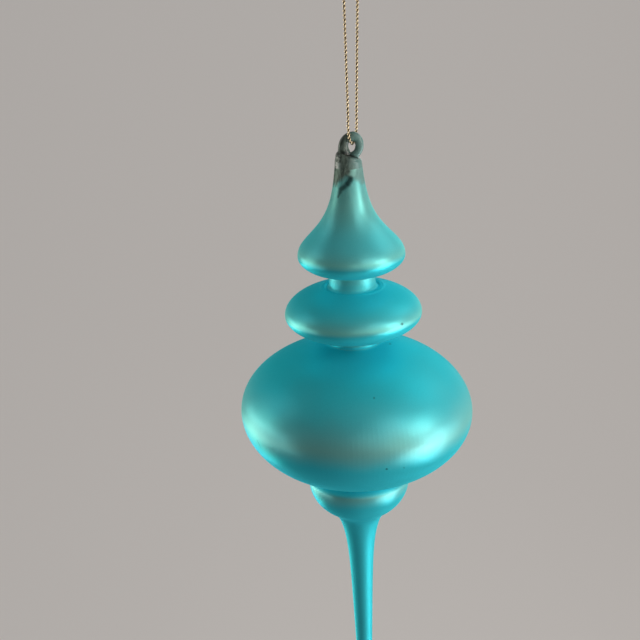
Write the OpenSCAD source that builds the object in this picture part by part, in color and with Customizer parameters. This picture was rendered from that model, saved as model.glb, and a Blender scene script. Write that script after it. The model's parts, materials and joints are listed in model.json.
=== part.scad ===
// Hanging icicle ornament of blown glass on a loop of metallic thread.
// Millimetres, +Z up. The origin is the hang point, inside the top of the thread loop.
// Each glass section is a revolved shell that meets the next one at a flat ring, its waist.

/* [Glass] */
// Thickness of the blown wall
wall = 1; // [0.6:0.1:1.4]
// How far to the side of the glass axis the thread carries it
hang_offset = 1.6; // [0:0.05:3]
// How far below its thread the glass balances, which sets how much it leans
balance_drop = 88; // [60:1:140]

/* [Eye] */
// Diameter of the glass rod that the eye is bent from
eye_rod_d = 2.8; // [2.2:0.1:4]
// Diameter of the hole in the eye
eye_hole_d = 2.8; // [2.2:0.1:4]
// How far the middle of the eye sits to the side of the glass axis
eye_offset = 1.25; // [0:0.05:3]
// Height of the glass foot that fuses the eye to the neck
eye_foot_h = 2.4; // [1.5:0.1:4]
// Diameter of the top of that foot
eye_foot_d = 5.6; // [4:0.1:7]
// How deep the eye sinks into its foot
eye_sink = 1.9; // [1:0.1:2.4]
// Diameter of the root from which the rod of the eye leaves the neck
eye_root_d = 5.2; // [4:0.1:5.6]
// Diameter to which that root narrows
eye_root_top_d = 3.2; // [2.6:0.1:4]
// Height of that root above the rim of the neck
eye_root_h = 3.6; // [2.4:0.1:4]

/* [Top bell] */
// Diameter of the rim of the neck
neck_d = 8.8; // [7:0.1:12]
// Height of the bell from its widest line to the rim of the neck
bell_h = 32.2; // [26:0.1:44]
// Widest diameter of the bell
bell_d = 36.1; // [28:0.1:44]
// Depth of the half ellipse below the widest line of the bell
bell_bottom_h = 7.1; // [5:0.1:12]
// Height at which the shoulder has fallen half way to the neck
shoulder_h = 10.9; // [8:0.1:14]
// How sharply the shoulder falls to the neck
shoulder_power = 2.2; // [1.6:0.1:3]

/* [Disc and collars] */
// Diameter of the collar between the bell and the disc
upper_collar_d = 15.9; // [12:0.1:20]
// Height of that collar
upper_collar_h = 4.3; // [2:0.1:8]
// Width of the groove in the disc round the foot of the upper collar
groove_w = 1.7; // [1:0.1:2.5]
// Depth of that groove
groove_depth = 0.5; // [0.2:0.1:0.5]
// Widest diameter of the disc
disc_d = 46.4; // [38:0.1:56]
// Height of the half ellipse above the widest line of the disc
disc_top_h = 10.4; // [7:0.1:15]
// Depth of the half ellipse below the widest line of the disc
disc_bottom_h = 9; // [6:0.1:15]
// Diameter of the collar between the disc and the main bulb
lower_collar_d = 17.2; // [13:0.1:22]
// Height of that collar
lower_collar_h = 2.5; // [1.5:0.1:6]

/* [Main bulb] */
// Widest diameter of the main bulb
bulb_d = 80.2; // [60:0.1:100]
// Height of the half ellipse above the widest line of the bulb
bulb_top_h = 25.3; // [18:0.1:34]
// Depth of the half ellipse below the widest line of the bulb
bulb_bottom_h = 25.4; // [18:0.1:34]

/* [Cup and spike] */
// Diameter of the pinched waist between the bulb and the cup
cup_waist_d = 29; // [24:0.1:32]
// Widest diameter of the cup
cup_d = 35.3; // [33:0.1:44]
// Height of the half ellipse above the widest line of the cup
cup_top_h = 5.6; // [3.5:0.1:9]
// Depth of the half ellipse below the widest line of the cup
cup_bottom_h = 14.4; // [10:0.1:20]
// Diameter of the spike where it leaves the cup
spike_root_d = 17.7; // [15:0.1:20]
// Diameter of the stem that the flared root settles to
spike_stem_d = 9.5; // [8:0.1:12]
// Length over which the flare of the root fades
spike_flare_h = 7.5; // [4:0.1:12]
// Length of the spike
spike_len = 125; // [80:1:170]
// Diameter of the rounded tip of the spike
spike_tip_d = 1.2; // [0.8:0.1:2]

/* [Thread] */
// Diameter of the twisted thread
thread_d = 0.9; // [0.7:0.05:1.2]
// Running gap between the thread and the eye that hangs on it
thread_gap = 0.2; // [0.1:0.05:0.4]
// Diameter of the overhand knot at the top of the loop
knot_d = 3; // [2.6:0.1:4]

/* [Hidden] */
$fn = 96;
arc_steps = 16;
thread_sides = 8;
ring_step = 2.5 * thread_d;
glass_colour = [0.12, 0.58, 0.60];
eye_colour = [0.35, 0.45, 0.40];
thread_colour = [0.72, 0.58, 0.30];

// Route of the thread, from the knot down the front leg, through the eye and up the rear leg.
// Its lowest point is the pivot that the eye hangs on.
thread_route = [
    [-0.4, 0, 0.9], [-1.3, 0, -0.1], [-2, -0.1, -1.4], [-2.4, -0.2, -3.2], [-2.5, -0.3, -5.5],
    [-2.4, -0.5, -10], [-2.2, -0.8, -20], [-2, -1.2, -30], [-1.8, -1.6, -40], [-1.6, -1.9, -50],
    [-1.4, -2.2, -60], [-1.4, -2.2, -62], [-1.4, -2.2, -64], [-1.3, -2.3, -65.5], [-1.2, -2.4, -67],
    [-0.9, -2.2, -68.4], [-0.5, -1.6, -69.4], [-0.2, -0.8, -69.9], [0, 0, -70],
    [0.2, 0.8, -69.9], [0.5, 1.6, -69.4], [0.9, 2.2, -68.4],
    [1.2, 2.4, -67], [1.3, 2.3, -65.5], [1.4, 2.2, -64], [1.4, 2.2, -62], [1.4, 2.2, -60],
    [1.6, 1.9, -50], [1.8, 1.6, -40], [2, 1.2, -30], [2.2, 0.8, -20], [2.4, 0.5, -10],
    [2.5, 0.3, -5.5], [2.4, 0.2, -3.2], [2, 0.1, -1.4], [1.3, 0, -0.1], [0.4, 0, 0.9]
];
// The foot of the loop is the stretch between these two points, both ends included
foot_first = 11;
foot_last = 25;
pivot_z = thread_route[18][2];
// Routes of the two free ends above the knot
tail_routes = [
    [[-0.6, 0, 2.2], [-0.8, 0.1, 3.6], [-1.2, 0.3, 5.5], [-1.9, 0.4, 7.5], [-2.3, 0.3, 9.5], [-2.4, 0.1, 11]],
    [[0.6, 0, 2.2], [0.8, -0.1, 3.6], [1.2, -0.3, 5], [1.6, -0.4, 7], [1.5, -0.3, 9], [1.2, -0.2, 10]]
];

thread_r = thread_d / 2;
eye_rod_r = eye_rod_d / 2;
eye_ring_r = (eye_hole_d + eye_rod_d) / 2;
lean = atan(hang_offset / balance_drop);
thread_play = eye_hole_d / 2 - thread_r - thread_gap;

// Heights in the frame of the glass: z = 0 is the level of the pivot
eye_z = -sqrt(pow(thread_play, 2) - pow(hang_offset - eye_offset, 2));
neck_z = eye_z - eye_ring_r - eye_rod_r + eye_sink - eye_foot_h;
bell_z = neck_z - bell_h;
upper_collar_z = bell_z - ellipse_z(bell_d / 2, bell_bottom_h, upper_collar_d / 2);
disc_top_z = upper_collar_z - upper_collar_h;
disc_z = disc_top_z - ellipse_z(disc_d / 2, disc_top_h, upper_collar_d / 2);
lower_collar_z = disc_z - ellipse_z(disc_d / 2, disc_bottom_h, lower_collar_d / 2);
bulb_top_z = lower_collar_z - lower_collar_h;
bulb_z = bulb_top_z - ellipse_z(bulb_d / 2, bulb_top_h, lower_collar_d / 2);
cup_top_z = bulb_z - ellipse_z(bulb_d / 2, bulb_bottom_h, cup_waist_d / 2);
cup_z = cup_top_z - ellipse_z(cup_d / 2, cup_top_h, cup_waist_d / 2);
spike_z = cup_z - ellipse_z(cup_d / 2, cup_bottom_h, spike_root_d / 2);

// Height of an ellipse of half width a and half height b at radius r
function ellipse_z(a, b, r) = b * sqrt(1 - pow(r / a, 2));

// Points of a quarter ellipse from radius r out to the widest line; b is negative below that line
function ellipse_arc(a, b, r) =
    let (start = acos(r / a))
    [for (i = [0:arc_steps]) let (t = start * (1 - i / arc_steps)) [a * cos(t), b * sin(t)]];

function backwards(list) = [for (i = [len(list) - 1:-1:0]) list[i]];
function raised(list, z) = [for (p = list) [p[0], p[1] + z]];

// Wall of a section with a quarter ellipse above and below its widest line.
// The waists it opens into have the radii top_r and bottom_r.
module blown_section(z, radius, top_h, top_r, bottom_h, bottom_r) {
    inner_r = radius - wall;
    outside = concat(
        ellipse_arc(radius, top_h, top_r),
        backwards(ellipse_arc(radius, -bottom_h, bottom_r))
    );
    inside = concat(
        ellipse_arc(inner_r, -(bottom_h - wall), bottom_r - wall),
        backwards(ellipse_arc(inner_r, top_h - wall, top_r - wall))
    );
    waists = [
        [bottom_r - wall, -ellipse_z(radius, bottom_h, bottom_r)],
        [top_r - wall, ellipse_z(radius, top_h, top_r)]
    ];
    rotate_extrude()
        polygon(raised(concat(outside, [waists[0]], inside, [waists[1]]), z));
}

// Places a piece of the glass on the thread: the pivot is the bottom of the loop
module on_thread() {
    translate([0, 0, pivot_z]) rotate([0, -lean, 0]) translate([-hang_offset, 0, 0]) children();
}

// The eye: a ring bent from glass rod, fused to the neck by a low foot and by the root of the rod
module hanging_eye() {
    color(eye_colour) on_thread() {
        translate([eye_offset, 0, eye_z]) rotate([90, 0, 0])
            rotate_extrude() translate([eye_ring_r, 0]) circle(eye_rod_r, $fn = 48);
        translate([0, 0, neck_z]) foot();
        translate([eye_offset - eye_ring_r, 0, neck_z])
            cylinder(h = eye_root_h, d1 = eye_root_d, d2 = eye_root_top_d);
    }
}

// Foot that closes the neck and rises to the side, under the ring
module foot() {
    cylinder(h = eye_foot_h, d1 = neck_d, d2 = eye_foot_d);
    translate([eye_offset, 0, 0]) cylinder(h = eye_foot_h + eye_sink / 2, d1 = eye_foot_d, d2 = eye_rod_d);
}

// Outer radius of the shoulder and neck at height s above the widest line of the bell
function shoulder_fall(s) = 1 / (1 + pow(s / shoulder_h, shoulder_power));
function shoulder_r(s) =
    let (rim = shoulder_fall(bell_h), limit = (neck_d / 2 - rim * bell_d / 2) / (1 - rim))
    limit + (bell_d / 2 - limit) * shoulder_fall(s);

// The neck and the bell below it, open at both ends
module top_bell() {
    steps = 2 * arc_steps;
    heights = [for (i = [0:steps]) bell_h * (1 - i / steps)];
    waist_r = upper_collar_d / 2;
    outside = concat(
        [for (s = heights) [shoulder_r(s), s]],
        backwards(ellipse_arc(bell_d / 2, -bell_bottom_h, waist_r))
    );
    inside = concat(
        ellipse_arc(bell_d / 2 - wall, -(bell_bottom_h - wall), waist_r - wall),
        [for (s = backwards(heights)) [shoulder_r(s) - wall, s]]
    );
    waist = [waist_r - wall, -ellipse_z(bell_d / 2, bell_bottom_h, waist_r)];
    color(glass_colour) on_thread()
        rotate_extrude() polygon(raised(concat(outside, [waist], inside), bell_z));
}

// Straight tube between two waists
module collar(top_z, height, diameter) {
    color(glass_colour) on_thread() translate([0, 0, top_z - height]) difference() {
        cylinder(h = height, d = diameter);
        translate([0, 0, -wall]) cylinder(h = height + 2 * wall, d = diameter - 2 * wall);
    }
}

module upper_collar() { collar(upper_collar_z, upper_collar_h, upper_collar_d); }

module lower_collar() { collar(lower_collar_z, lower_collar_h, lower_collar_d); }

// The flat disc, with a shallow groove round the foot of the upper collar
module disc() {
    color(glass_colour) on_thread() difference() {
        blown_section(
            disc_z, disc_d / 2, disc_top_h, upper_collar_d / 2, disc_bottom_h, lower_collar_d / 2
        );
        groove_cutter();
    }
}

// Ring whose lower side cuts the groove, sunk into the disc by the groove's depth
module groove_cutter() {
    half_w = groove_w / 2;
    cutter_r = (pow(half_w, 2) + pow(groove_depth, 2)) / (2 * groove_depth);
    middle_r = upper_collar_d / 2 + half_w;
    surface_z = disc_z + ellipse_z(disc_d / 2, disc_top_h, middle_r);
    translate([0, 0, surface_z + cutter_r - groove_depth])
        rotate_extrude() translate([middle_r, 0]) circle(cutter_r, $fn = 48);
}

module main_bulb() {
    color(glass_colour) on_thread()
        blown_section(
            bulb_z, bulb_d / 2, bulb_top_h, lower_collar_d / 2, bulb_bottom_h, cup_waist_d / 2
        );
}

module cup() {
    color(glass_colour) on_thread()
        blown_section(cup_z, cup_d / 2, cup_top_h, cup_waist_d / 2, cup_bottom_h, spike_root_d / 2);
}

// Outer radius of the spike at depth s below the cup: a flared root on a stem that tapers evenly
function spike_r(s) =
    let (tip_r = spike_tip_d / 2, stem_r = spike_stem_d / 2)
    tip_r + (stem_r - tip_r) * (1 - s / spike_len)
    + (spike_root_d / 2 - stem_r) * exp(-s / spike_flare_h) * (1 - s / spike_len);

// The spike: hollow while its stem is thick enough, then drawn to a solid rounded tip
module spike() {
    steps = 3 * arc_steps;
    tip_r = spike_tip_d / 2;
    // Depths grow with the square of the count, so that they crowd at the flare
    depths = [for (i = [0:steps]) spike_len * pow(i / steps, 2)];
    hollow = [for (s = depths) if (spike_r(s) > 2 * wall) s];
    outside = concat(
        [for (s = depths) [spike_r(s), -s]],
        [for (a = [15:15:75]) [tip_r * cos(a), -spike_len - tip_r * sin(a)]],
        [[0, -spike_len - tip_r]]
    );
    inside = concat(
        [[0, -hollow[len(hollow) - 1] - wall]],
        [for (s = backwards(hollow)) [spike_r(s) - wall, -s]]
    );
    color(glass_colour) on_thread()
        rotate_extrude() polygon(raised(concat(outside, inside), spike_z));
}

// Sweeping of a round thread along a route
function unit(v) = v / norm(v);
function heading(p, i) = unit(p[min(i + 1, len(p) - 1)] - p[max(i - 1, 0)]);
// Point at fraction t of the smooth stretch from b to c, with a before it and d after it
function eased(a, b, c, d, t) =
    b + t / 2 * (c - a)
    + pow(t, 2) / 2 * (2 * a - 5 * b + 4 * c - d)
    + pow(t, 3) / 2 * (3 * b - a - 3 * c + d);
// The route with points added on its smooth curve, about ring_step apart
function eased_route(p) = [
    for (i = [0:len(p) - 2])
        let (n = max(1, round(norm(p[i + 1] - p[i]) / ring_step)))
        for (j = [0:n - 1])
            eased(p[max(i - 1, 0)], p[i], p[i + 1], p[min(i + 2, len(p) - 1)], j / n),
    p[len(p) - 1]
];
// A level direction across the loop, which no stretch of the thread runs along
loop_side = unit([2.2, -1.4, 0]);

module swept_thread(route) {
    p = eased_route(route);
    sides = thread_sides;
    last = len(p) - 1;
    points = [
        for (i = [0:last])
            let (across = unit(cross(heading(p, i), loop_side)), along = cross(across, heading(p, i)))
            for (j = [0:sides - 1])
                let (a = 360 * j / sides)
                p[i] + thread_r * (cos(a) * across + sin(a) * along)
    ];
    skin = [
        for (i = [0:last - 1], j = [0:sides - 1])
            let (k = (j + 1) % sides)
            [i * sides + j, i * sides + k, (i + 1) * sides + k, (i + 1) * sides + j]
    ];
    ends = [[for (j = [sides - 1:-1:0]) j], [for (j = [0:sides - 1]) last * sides + j]];
    polyhedron(points, concat(skin, ends));
}

function part_of(list, first, last) = [for (i = [first:last]) list[i]];

// The two legs of the loop, from the knot down to the foot
module thread_loop() {
    color(thread_colour) {
        swept_thread(part_of(thread_route, 0, foot_first));
        swept_thread(part_of(thread_route, foot_last, len(thread_route) - 1));
    }
}

// The foot of the loop, which passes through the eye
module thread_foot() {
    color(thread_colour) swept_thread(part_of(thread_route, foot_first, foot_last));
}

// The knot rests on the hook, so its underside is at the origin
module thread_knot() {
    color(thread_colour) translate([0, 0, knot_d / 2]) sphere(d = knot_d);
}

module thread_tails() {
    color(thread_colour) for (route = tail_routes) swept_thread(route);
}

thread_knot();
thread_tails();
thread_loop();
thread_foot();
hanging_eye();
top_bell();
upper_collar();
disc();
lower_collar();
main_bulb();
cup();
spike();
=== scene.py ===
import json
import math

import bpy
import numpy as np
from mathutils import Matrix, Vector
from mathutils.kdtree import KDTree


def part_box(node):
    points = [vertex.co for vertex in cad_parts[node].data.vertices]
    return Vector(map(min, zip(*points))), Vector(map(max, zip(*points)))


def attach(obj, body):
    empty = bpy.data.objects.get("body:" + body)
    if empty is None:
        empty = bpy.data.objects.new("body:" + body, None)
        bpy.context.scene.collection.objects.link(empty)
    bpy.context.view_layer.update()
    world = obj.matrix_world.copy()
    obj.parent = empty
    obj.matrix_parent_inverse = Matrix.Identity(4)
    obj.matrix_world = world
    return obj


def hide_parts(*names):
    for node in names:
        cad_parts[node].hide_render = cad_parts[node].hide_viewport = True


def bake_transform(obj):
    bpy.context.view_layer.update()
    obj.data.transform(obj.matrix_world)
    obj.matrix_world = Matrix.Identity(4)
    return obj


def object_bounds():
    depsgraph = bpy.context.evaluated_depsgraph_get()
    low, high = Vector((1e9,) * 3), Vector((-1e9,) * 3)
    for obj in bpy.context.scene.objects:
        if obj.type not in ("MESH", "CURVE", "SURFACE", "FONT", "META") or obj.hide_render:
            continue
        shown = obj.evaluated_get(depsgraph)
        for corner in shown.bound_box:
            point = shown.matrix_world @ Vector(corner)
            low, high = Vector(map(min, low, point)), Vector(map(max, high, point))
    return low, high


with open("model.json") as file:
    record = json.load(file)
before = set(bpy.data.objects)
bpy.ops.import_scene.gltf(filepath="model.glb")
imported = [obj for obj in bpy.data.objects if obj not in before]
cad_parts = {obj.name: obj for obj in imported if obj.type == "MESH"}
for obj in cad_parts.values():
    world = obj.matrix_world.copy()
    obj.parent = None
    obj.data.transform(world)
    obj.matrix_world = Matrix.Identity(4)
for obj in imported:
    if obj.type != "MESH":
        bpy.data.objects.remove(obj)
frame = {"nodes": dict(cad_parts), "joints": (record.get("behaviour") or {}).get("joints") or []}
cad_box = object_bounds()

bl_info = {
    "name": "Icicle ornament",
    "version": (1, 0, 0),
    "blender": (4, 5, 0),
    "location": "3D View > Sidebar > Ornament",
    "description": "Makes a hanging ornament of satin blown glass on a metallic thread",
    "category": "Object",
}

MM = 0.001


# ---------------------------------------------------------------- settings

def length_property(name, description, default, low, high):
    """A length, with its numbers in millimetres."""
    return bpy.props.FloatProperty(name=name, description=description, default=default * MM,
                                   min=low * MM, max=high * MM, unit="LENGTH", precision=4)


def angle_property(name, description, default):
    """An angle, with its number in degrees."""
    return bpy.props.FloatProperty(name=name, description=description, default=math.radians(default),
                                   subtype="ANGLE")


def colour_property(name, description, default):
    return bpy.props.FloatVectorProperty(name=name, description=description, default=default,
                                         size=3, min=0, max=1, subtype="COLOR")


class GlassSettings(bpy.types.PropertyGroup):
    """Sizes and colours of the blown glass."""

    wall: length_property("Wall", "Thickness of the blown wall", 1.0, 0.4, 1.6)
    segments: bpy.props.IntProperty(
        name="Segments", description="Faces round each turned piece", default=144, min=24, max=256,
    )
    shoulder_height: length_property(
        "Shoulder height", "Height at which the shoulder has fallen half way to the neck", 10.9, 6, 20,
    )
    shoulder_power: bpy.props.FloatProperty(
        name="Shoulder sharpness", description="How sharply the shoulder falls to the neck",
        default=2.2, min=1.5, max=4.0,
    )
    flare_height: length_property(
        "Flare height", "Length over which the root of the spike narrows", 7.5, 3, 20,
    )
    stem_diameter: length_property(
        "Stem diameter", "Diameter that the root of the spike settles to", 9.5, 5, 14,
    )
    tip_diameter: length_property("Tip diameter", "Diameter of the rounded tip of the spike", 1.2, 0.4, 3)
    lacquer: colour_property(
        "Lacquer", "Colour of the satin lacquer over the silvering", (0.225, 0.6, 0.57),
    )
    lacquer_pale: colour_property(
        "Pale lacquer", "Colour of the paler lacquer on the disc and the bell", (0.23, 0.74, 0.69),
    )
    # What faces up: partly the lacquer's tint and partly painted light, which makes it brighter and bluer
    lacquer_up_and_light: colour_property(
        "Full lacquer", "Colour of the lacquer on what faces up, where it is full", (0.035, 0.72, 0.84),
    )
    # What faces down: a bluer, less red tint of the lacquer
    lacquer_down: colour_property(
        "Thin lacquer", "Colour of the lacquer on what faces down, where it is thin", (0.05, 0.6, 0.68),
    )
    bare_glass: colour_property(
        "Bare glass", "Colour of the glass where it has no silvering", (0.16, 0.2, 0.165),
    )
    bare_teal: colour_property(
        "Bare glass, teal side", "Colour of the bare glass to the right of its middle", (0.19, 0.36, 0.33),
    )


class ThreadSettings(bpy.types.PropertyGroup):
    """Sizes and colours of the hanging thread."""

    diameter: length_property("Diameter", "Diameter over the two twisted plies", 0.9, 0.4, 2)
    lay: length_property("Lay", "Length of thread in which a ply goes round once", 2.8, 1, 6)
    gold: colour_property("Gold", "Colour of the metallic wrapping", (0.86, 0.66, 0.4))
    # The core colour fills the furrows of the twist: partly the yarn showing, partly painted shade
    core: colour_property("Core", "Colour of the yarn that shows between the wraps", (0.12, 0.07, 0.035))


class StageSettings(bpy.types.PropertyGroup):
    """Where the camera stands, and what the floor and the backdrop look like."""

    distance: bpy.props.FloatProperty(
        name="Camera distance", description="From the camera to the point it looks at",
        default=0.4765, min=0.2, max=2.0, unit="LENGTH",
    )
    azimuth: angle_property("Camera azimuth", "Turn of the camera to the right of the front", 1.09)
    elevation: angle_property("Camera elevation", "Height of the camera above the level line", 19.88)
    roll: angle_property("Camera roll", "Roll of the camera about its own line of sight", 1.3)
    lens: bpy.props.FloatProperty(
        name="Lens", description="Focal length on a sensor 36 mm wide", default=78.75, min=20, max=200,
    )
    wall_colour: colour_property("Backdrop", "Colour of the floor and the backdrop", (0.44, 0.41, 0.39))
    wall_glow: bpy.props.FloatProperty(
        name="Backdrop brightness", description="How bright the backdrop shows, besides its own light",
        default=0.75, min=0, max=1,
    )
    room_colour: colour_property(
        "Room", "Colour that the floor throws on the glass, as a dim room does", (0.16, 0.25, 0.32),
    )


# ---------------------------------------------------------------- what the frame says

PIVOT = Vector(next(j["pos_m"] for j in frame["joints"] if j["name"] == "swing"))


def box_middle(node):
    low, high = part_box(node)
    return (low + high) / 2


def turning_axis():
    """The matrix that takes an upright piece of glass to the leaning line that all of it was turned on.
    Height 0 is the level of the pivot in the eye."""
    upper, lower = box_middle("upper_collar"), box_middle("lower_collar")
    up = (upper - lower).normalized()
    origin = lower + up * ((PIVOT.z - lower.z) / up.z)
    return Matrix.Translation(origin) @ Vector((0, 0, 1)).rotation_difference(up).to_matrix().to_4x4()


AXIS = turning_axis()


class Turned:
    """Sizes of one turned node, read off the frame in the upright frame of the glass."""

    def __init__(self, node):
        inverse = AXIS.inverted()
        points = [inverse @ v.co for v in frame["nodes"][node].data.vertices]
        radii = np.array([math.hypot(p.x, p.y) for p in points])
        heights = np.array([p.z for p in points])
        edge = 0.02 * MM
        self.top, self.bottom = float(heights.max()), float(heights.min())
        self.radius = float(radii.max())
        self.widest = float(heights[radii > self.radius - edge].mean())
        self.top_radius = float(radii[heights > self.top - edge].max())
        self.bottom_radius = float(radii[heights < self.bottom + edge].max())


# ---------------------------------------------------------------- making meshes

def deselect_all():
    bpy.ops.object.select_all(action="DESELECT")


def edit_active():
    bpy.ops.object.mode_set(mode="EDIT")
    bpy.ops.mesh.select_all(action="SELECT")


def leave_edit():
    bpy.ops.object.mode_set(mode="OBJECT")


def select_only(piece):
    deselect_all()
    piece.select_set(True)
    bpy.context.view_layer.objects.active = piece


def weld_and_leave_edit():
    """Joins doubled points and turns all faces outward."""
    bpy.ops.mesh.select_all(action="SELECT")
    bpy.ops.mesh.remove_doubles(threshold=0.001 * MM)
    bpy.ops.mesh.normals_make_consistent(inside=False)
    leave_edit()


def clamped(value):
    return min(1.0, max(0.0, value))


def turned_piece(name, outline, segments, closed=True):
    """Spins an outline of (radius, height) points about the upright axis. A closed one has its ends
    joined first."""
    deselect_all()
    radius, height = outline[0]
    bpy.ops.mesh.primitive_circle_add(vertices=3, radius=MM, location=(0, 0, 0))
    piece = bpy.context.active_object
    piece.name = piece.data.name = name
    edit_active()
    bpy.ops.mesh.select_mode(type="VERT")
    bpy.ops.mesh.merge(type="CENTER")
    bpy.ops.transform.translate(value=(radius, 0, height))
    for (r0, z0), (r1, z1) in zip(outline, outline[1:]):
        bpy.ops.mesh.extrude_vertices_move(TRANSFORM_OT_translate={"value": (r1 - r0, 0, z1 - z0)})
    bpy.ops.mesh.select_all(action="SELECT")
    leave_edit()
    if closed:
        ends = (0, len(piece.data.vertices) - 1)
        for v in piece.data.vertices:
            v.select = v.index in ends
        bpy.ops.object.mode_set(mode="EDIT")
        bpy.ops.mesh.select_mode(type="VERT")
        # The edges are still selected as well. So the outline is filled when its ends are joined, and
        # the spin leaves that face inside the wall at each step.
        bpy.ops.mesh.edge_face_add()
        leave_edit()
    edit_active()
    bpy.ops.mesh.spin(steps=segments, angle=math.tau, center=(0, 0, 0), axis=(0, 0, 1))
    weld_and_leave_edit()
    return piece


def finish_piece(piece, material, smooth_angle=50):
    """Sets the finish and leaves the object at the origin with its place in its mesh."""
    select_only(piece)
    bpy.ops.object.transform_apply(location=True, rotation=True, scale=True)
    bpy.ops.object.shade_smooth_by_angle(angle=math.radians(smooth_angle))
    piece.data.materials.clear()
    piece.data.materials.append(material)


def add_to_scene(name, data):
    added = bpy.data.objects.new(name, data)
    bpy.context.scene.collection.objects.link(added)
    return added


def add_spline(curve, points):
    spline = curve.splines.new("POLY")
    spline.points.add(len(points) - 1)
    for point, place in zip(spline.points, points):
        point.co = (*place, 1)
    return spline.points


def mesh_from_curve(name, curve):
    """Puts a curve in the scene and turns it into a mesh."""
    select_only(add_to_scene(name, curve))
    bpy.ops.object.convert(target="MESH")
    return bpy.context.active_object


def quarter(radius, rise, waist, steps):
    """Quarter ellipse from its waist radius out to the widest line, as (radius, height) points.
    rise is the height of the waist over the widest line, and is negative below it."""
    half_height = rise / math.sqrt(1 - (waist / radius) ** 2)
    start = math.acos(waist / radius)
    angles = [start * (1 - i / steps) for i in range(steps + 1)]
    return [(radius * math.cos(a), half_height * math.sin(a)) for a in angles]


def ellipse_outline(form):
    """Outside of a section with a quarter ellipse above and below its widest line."""
    steps = 44
    upper = quarter(form.radius, form.top - form.widest, form.top_radius, steps)
    lower = quarter(form.radius, form.bottom - form.widest, form.bottom_radius, steps)[::-1]
    return [(r, form.widest + z) for r, z in upper + lower[1:]]


def bell_outline(form):
    """Outside of the neck and the bell: a shoulder that falls away to the neck, over a shallow bottom."""
    given = bpy.context.scene.ornament_glass
    height = form.top - form.widest

    def fall(s):
        return 1 / (1 + (s / given.shoulder_height) ** given.shoulder_power)

    rim = fall(height)
    limit = (form.top_radius - rim * form.radius) / (1 - rim)
    steps = 80
    outer = []
    for i in range(steps):
        s = height * (1 - i / steps)
        outer.append((limit + (form.radius - limit) * fall(s), form.widest + s))
    lower = quarter(form.radius, form.bottom - form.widest, form.bottom_radius, 34)[::-1]
    return outer + [(r, form.widest + z) for r, z in lower]


def collar_outline(form):
    """Outside of a short collar, drawn in a little at its middle."""
    steps = 28
    outer = []
    for i in range(steps + 1):
        t = i / steps
        pinch = 0.12 * MM * math.sin(math.pi * t) ** 2
        outer.append((form.top_radius - pinch, form.top + t * (form.bottom - form.top)))
    return outer


def spike_radius(form, s):
    """Radius of the spike at a depth s under its root: a flare that dies out on a long taper."""
    given = bpy.context.scene.ornament_glass
    tip, stem = given.tip_diameter / 2, given.stem_diameter / 2
    flare = (form.top_radius - stem) * math.exp(-s / given.flare_height)
    return tip + (stem - tip + flare) * (1 - s / (form.top - form.bottom - tip))


def spike_outline(form):
    """Outside of the spike down to where its tip rounds over."""
    length = form.top - form.bottom - bpy.context.scene.ornament_glass.tip_diameter / 2
    steps = 110
    depths = [length * (i / steps) ** 1.7 for i in range(steps + 1)]
    return [(spike_radius(form, s), form.top - s) for s in depths]


def collar_groove(outline, form):
    """Sinks a shallow groove round the foot of the collar that stands on a section, with a soft lip
    outside it."""
    start, width, depth, lip = form.top_radius, 1.7 * MM, 0.5 * MM, 0.12 * MM
    fine = []
    for (r0, z0), (r1, z1) in zip(outline, outline[1:]):
        count = 6 if r0 < start + 2 * width and z0 > form.widest else 1
        fine += [(r0 + (r1 - r0) * i / count, z0 + (z1 - z0) * i / count) for i in range(count)]
    fine.append(outline[-1])
    grooved = []
    for r, z in fine:
        t = (r - start) / width
        if z > form.widest and t < 2:
            hollow = depth * math.sin(math.pi * min(t, 1)) ** 2
            rise = lip * math.sin(math.pi * (t - 1)) ** 2 if t > 1 else 0
            z += rise - hollow
        grooved.append((r, z))
    return grooved


def trimmed(outline, reach):
    """An outline without its last stretch, which ends where that stretch began."""
    kept, left = list(outline), reach
    while left > 0 and len(kept) > 2:
        a, b = Vector(kept[-2]), Vector(kept[-1])
        step = (b - a).length
        if step > left:
            kept[-1] = tuple(b + (a - b) * left / step)
            return kept
        left -= step
        kept.pop()
    return kept


def melted_joint(upper, lower, reach):
    """Rounds the hollow corner between two outlines that meet. Each keeps its half of the curve."""
    corner = Vector(upper[-1])
    upper = trimmed(upper, reach)
    lower = trimmed(lower[::-1], reach)[::-1]
    a, b = Vector(upper[-1]), Vector(lower[0])
    steps = 10
    curve = []
    for i in range(1, steps):
        t = i / steps
        curve.append(tuple(a * (1 - t) ** 2 + corner * 2 * t * (1 - t) + b * t ** 2))
    half = steps // 2
    return upper + curve[:half], curve[half - 1:] + lower


def glass_outlines():
    """The outside of every hollow section from the neck to the tip, keyed by node, with the corners
    between neighbours melted together."""
    # What draws each section, and how far the corner between it and the next one is melted along
    # both, in millimetres
    sections = {
        "top_bell": (bell_outline, 0.7), "upper_collar": (collar_outline, 0.25),
        "disc": (ellipse_outline, 0.7), "lower_collar": (collar_outline, 1.2),
        "main_bulb": (ellipse_outline, 1.0), "cup": (ellipse_outline, 3.2), "spike": (spike_outline, 0),
    }
    outlines = {node: draw(Turned(node)) for node, (draw, reach) in sections.items()}
    outlines["disc"] = collar_groove(outlines["disc"], Turned("disc"))
    nodes = list(sections)
    for above, below in zip(nodes, nodes[1:]):
        reach = sections[above][1] * MM
        outlines[above], outlines[below] = melted_joint(outlines[above], outlines[below], reach)
    return outlines


def inner_wall(outer, wall):
    """The outline one wall thickness inside an outer one that runs from top to bottom."""
    points = np.array(outer)
    run = np.gradient(points, axis=0)
    run /= np.linalg.norm(run, axis=1)[:, None]
    inward = np.column_stack([run[:, 1], -run[:, 0]])
    inner = points + wall * inward
    inner[0] = points[0] + (-wall, 0)
    inner[-1] = points[-1] + (-wall, 0)
    return [tuple(p) for p in inner]


def shell_outline(outer, wall):
    """Closed outline of a shell: down the outside and back up the inside."""
    return outer + inner_wall(outer, wall)[::-1]


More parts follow.
